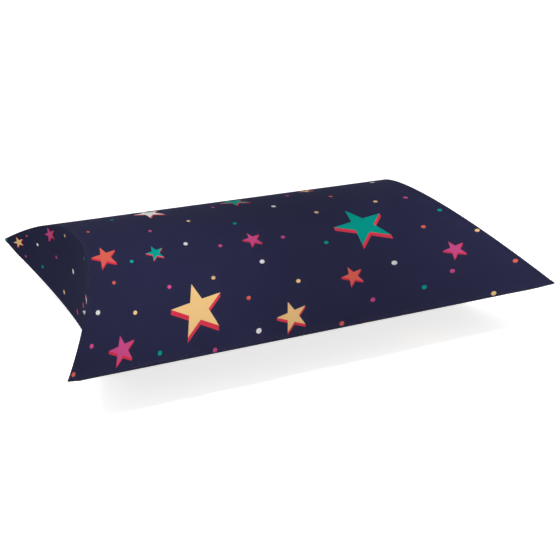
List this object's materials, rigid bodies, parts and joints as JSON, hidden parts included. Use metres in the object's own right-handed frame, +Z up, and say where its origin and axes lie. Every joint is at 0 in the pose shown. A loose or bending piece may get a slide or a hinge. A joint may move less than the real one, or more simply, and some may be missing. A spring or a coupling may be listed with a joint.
{
  "type": "pillow box",
  "caption": "Pillow-shaped card gift box with curved end flaps that swing open on creased edges.",
  "frame": {"origin": "on the surface the box stands on, under the middle of the box", "axes": "+X along the folds towards the right end, +Y from the front fold to the rear fold, +Z up"},
  "size_m": [0.162, 0.117, 0.0349],
  "materials": {
    "card": "matt printed card",
    "adhesive": "dried white glue"
  },
  "bodies": {
    "box": {"top_panel": "card", "bottom_panel": "card", "front_fold": "card", "rear_fold": "card", "glue_flap": "card", "glue_line": "adhesive", "left_outer_crease": "card", "left_inner_crease": "card", "right_outer_crease": "card", "right_inner_crease": "card"},
    "left_outer_flap_middle": {"left_outer_flap_middle": "card"},
    "left_outer_flap_front_1": {"left_outer_flap_front_1": "card"},
    "left_outer_flap_front_2": {"left_outer_flap_front_2": "card"},
    "left_outer_flap_front_3": {"left_outer_flap_front_3": "card"},
    "left_outer_flap_rear_1": {"left_outer_flap_rear_1": "card"},
    "left_outer_flap_rear_2": {"left_outer_flap_rear_2": "card"},
    "left_outer_flap_rear_3": {"left_outer_flap_rear_3": "card"},
    "left_inner_flap_middle": {"left_inner_flap_middle": "card"},
    "left_inner_flap_front_1": {"left_inner_flap_front_1": "card"},
    "left_inner_flap_front_2": {"left_inner_flap_front_2": "card"},
    "left_inner_flap_rear_1": {"left_inner_flap_rear_1": "card"},
    "left_inner_flap_rear_2": {"left_inner_flap_rear_2": "card"},
    "right_outer_flap_middle": {"right_outer_flap_middle": "card"},
    "right_outer_flap_front_1": {"right_outer_flap_front_1": "card"},
    "right_outer_flap_front_2": {"right_outer_flap_front_2": "card"},
    "right_outer_flap_front_3": {"right_outer_flap_front_3": "card"},
    "right_outer_flap_rear_1": {"right_outer_flap_rear_1": "card"},
    "right_outer_flap_rear_2": {"right_outer_flap_rear_2": "card"},
    "right_outer_flap_rear_3": {"right_outer_flap_rear_3": "card"},
    "right_inner_flap_middle": {"right_inner_flap_middle": "card"},
    "right_inner_flap_front_1": {"right_inner_flap_front_1": "card"},
    "right_inner_flap_front_2": {"right_inner_flap_front_2": "card"},
    "right_inner_flap_rear_1": {"right_inner_flap_rear_1": "card"},
    "right_inner_flap_rear_2": {"right_inner_flap_rear_2": "card"}
  },
  "joints": [
    {"name": "left_outer_open", "type": "hinge", "parent": "box", "child": "left_outer_flap_middle", "pos_m": [-0.06387, 0, 0.03453], "axis": [0, 1, 0], "range_deg": [0, 90], "deforming": ["left_outer_crease"]},
    {"name": "left_outer_bend_front_1", "type": "hinge", "parent": "left_outer_flap_middle", "child": "left_outer_flap_front_1", "pos_m": [-0.06337, -0.00888, 0.0174], "axis": [0, 0, 1], "range_deg": [0, 21]},
    {"name": "left_outer_bend_front_2", "type": "hinge", "parent": "left_outer_flap_front_1", "child": "left_outer_flap_front_2", "pos_m": [-0.0663, -0.02639, 0.0174], "axis": [0, 0, 1], "range_deg": [0, 21]},
    {"name": "left_outer_bend_front_3", "type": "hinge", "parent": "left_outer_flap_front_2", "child": "left_outer_flap_front_3", "pos_m": [-0.0721, -0.04318, 0.0174], "axis": [0, 0, 1], "range_deg": [0, 21]},
    {"name": "left_outer_bend_rear_1", "type": "hinge", "parent": "left_outer_flap_middle", "child": "left_outer_flap_rear_1", "pos_m": [-0.06337, 0.00888, 0.0174], "axis": [0, 0, -1], "range_deg": [0, 21]},
    {"name": "left_outer_bend_rear_2", "type": "hinge", "parent": "left_outer_flap_rear_1", "child": "left_outer_flap_rear_2", "pos_m": [-0.0663, 0.02639, 0.0174], "axis": [0, 0, -1], "range_deg": [0, 21]},
    {"name": "left_outer_bend_rear_3", "type": "hinge", "parent": "left_outer_flap_rear_2", "child": "left_outer_flap_rear_3", "pos_m": [-0.0721, 0.04318, 0.0174], "axis": [0, 0, -1], "range_deg": [0, 21]},
    {"name": "left_inner_open", "type": "hinge", "parent": "box", "child": "left_inner_flap_middle", "pos_m": [-0.06306, 0, 0.00036], "axis": [0, -1, 0], "range_deg": [0, 90], "deforming": ["left_inner_crease"]},
    {"name": "left_inner_bend_front_1", "type": "hinge", "parent": "left_inner_flap_middle", "child": "left_inner_flap_front_1", "pos_m": [-0.06293, -0.01251, 0.0174], "axis": [0, 0, 1], "range_deg": [0, 28]},
    {"name": "left_inner_bend_front_2", "type": "hinge", "parent": "left_inner_flap_front_1", "child": "left_inner_flap_front_2", "pos_m": [-0.06869, -0.03685, 0.0174], "axis": [0, 0, 1], "range_deg": [0, 28]},
    {"name": "left_inner_bend_rear_1", "type": "hinge", "parent": "left_inner_flap_middle", "child": "left_inner_flap_rear_1", "pos_m": [-0.06293, 0.01251, 0.0174], "axis": [0, 0, -1], "range_deg": [0, 28]},
    {"name": "left_inner_bend_rear_2", "type": "hinge", "parent": "left_inner_flap_rear_1", "child": "left_inner_flap_rear_2", "pos_m": [-0.06869, 0.03685, 0.0174], "axis": [0, 0, -1], "range_deg": [0, 28]},
    {"name": "right_outer_open", "type": "hinge", "parent": "box", "child": "right_outer_flap_middle", "pos_m": [0.06387, 0, 0.03453], "axis": [0, -1, 0], "range_deg": [0, 90], "deforming": ["right_outer_crease"]},
    {"name": "right_outer_bend_front_1", "type": "hinge", "parent": "right_outer_flap_middle", "child": "right_outer_flap_front_1", "pos_m": [0.06337, -0.00888, 0.0174], "axis": [0, 0, -1], "range_deg": [0, 21]},
    {"name": "right_outer_bend_front_2", "type": "hinge", "parent": "right_outer_flap_front_1", "child": "right_outer_flap_front_2", "pos_m": [0.0663, -0.02639, 0.0174], "axis": [0, 0, -1], "range_deg": [0, 21]},
    {"name": "right_outer_bend_front_3", "type": "hinge", "parent": "right_outer_flap_front_2", "child": "right_outer_flap_front_3", "pos_m": [0.0721, -0.04318, 0.0174], "axis": [0, 0, -1], "range_deg": [0, 21]},
    {"name": "right_outer_bend_rear_1", "type": "hinge", "parent": "right_outer_flap_middle", "child": "right_outer_flap_rear_1", "pos_m": [0.06337, 0.00888, 0.0174], "axis": [0, 0, 1], "range_deg": [0, 21]},
    {"name": "right_outer_bend_rear_2", "type": "hinge", "parent": "right_outer_flap_rear_1", "child": "right_outer_flap_rear_2", "pos_m": [0.0663, 0.02639, 0.0174], "axis": [0, 0, 1], "range_deg": [0, 21]},
    {"name": "right_outer_bend_rear_3", "type": "hinge", "parent": "right_outer_flap_rear_2", "child": "right_outer_flap_rear_3", "pos_m": [0.0721, 0.04318, 0.0174], "axis": [0, 0, 1], "range_deg": [0, 21]},
    {"name": "right_inner_open", "type": "hinge", "parent": "box", "child": "right_inner_flap_middle", "pos_m": [0.06306, 0, 0.00036], "axis": [0, 1, 0], "range_deg": [0, 90], "deforming": ["right_inner_crease"]},
    {"name": "right_inner_bend_front_1", "type": "hinge", "parent": "right_inner_flap_middle", "child": "right_inner_flap_front_1", "pos_m": [0.06293, -0.01251, 0.0174], "axis": [0, 0, -1], "range_deg": [0, 28]},
    {"name": "right_inner_bend_front_2", "type": "hinge", "parent": "right_inner_flap_front_1", "child": "right_inner_flap_front_2", "pos_m": [0.06869, -0.03685, 0.0174], "axis": [0, 0, -1], "range_deg": [0, 28]},
    {"name": "right_inner_bend_rear_1", "type": "hinge", "parent": "right_inner_flap_middle", "child": "right_inner_flap_rear_1", "pos_m": [0.06293, 0.01251, 0.0174], "axis": [0, 0, 1], "range_deg": [0, 28]},
    {"name": "right_inner_bend_rear_2", "type": "hinge", "parent": "right_inner_flap_rear_1", "child": "right_inner_flap_rear_2", "pos_m": [0.06869, 0.03685, 0.0174], "axis": [0, 0, 1], "range_deg": [0, 28]}
  ],
  "couplings": [
    {"joint": "left_outer_bend_front_1", "follows": "left_outer_open", "ratio": 0.2125},
    {"joint": "left_outer_bend_front_2", "follows": "left_outer_open", "ratio": 0.2125},
    {"joint": "left_outer_bend_front_3", "follows": "left_outer_open", "ratio": 0.2125},
    {"joint": "left_outer_bend_rear_1", "follows": "left_outer_open", "ratio": 0.2125},
    {"joint": "left_outer_bend_rear_2", "follows": "left_outer_open", "ratio": 0.2125},
    {"joint": "left_outer_bend_rear_3", "follows": "left_outer_open", "ratio": 0.2125},
    {"joint": "left_inner_bend_front_1", "follows": "left_outer_open", "ratio": 0.2986},
    {"joint": "left_inner_bend_front_2", "follows": "left_outer_open", "ratio": 0.2986},
    {"joint": "left_inner_bend_rear_1", "follows": "left_outer_open", "ratio": 0.2986},
    {"joint": "left_inner_bend_rear_2", "follows": "left_outer_open", "ratio": 0.2986},
    {"joint": "left_inner_open", "follows": "left_outer_open", "ratio": 1},
    {"joint": "right_outer_bend_front_1", "follows": "right_outer_open", "ratio": 0.2125},
    {"joint": "right_outer_bend_front_2", "follows": "right_outer_open", "ratio": 0.2125},
    {"joint": "right_outer_bend_front_3", "follows": "right_outer_open", "ratio": 0.2125},
    {"joint": "right_outer_bend_rear_1", "follows": "right_outer_open", "ratio": 0.2125},
    {"joint": "right_outer_bend_rear_2", "follows": "right_outer_open", "ratio": 0.2125},
    {"joint": "right_outer_bend_rear_3", "follows": "right_outer_open", "ratio": 0.2125},
    {"joint": "right_inner_bend_front_1", "follows": "right_outer_open", "ratio": 0.2986},
    {"joint": "right_inner_bend_front_2", "follows": "right_outer_open", "ratio": 0.2986},
    {"joint": "right_inner_bend_rear_1", "follows": "right_outer_open", "ratio": 0.2986},
    {"joint": "right_inner_bend_rear_2", "follows": "right_outer_open", "ratio": 0.2986},
    {"joint": "right_inner_open", "follows": "right_outer_open", "ratio": 1}
  ]
}
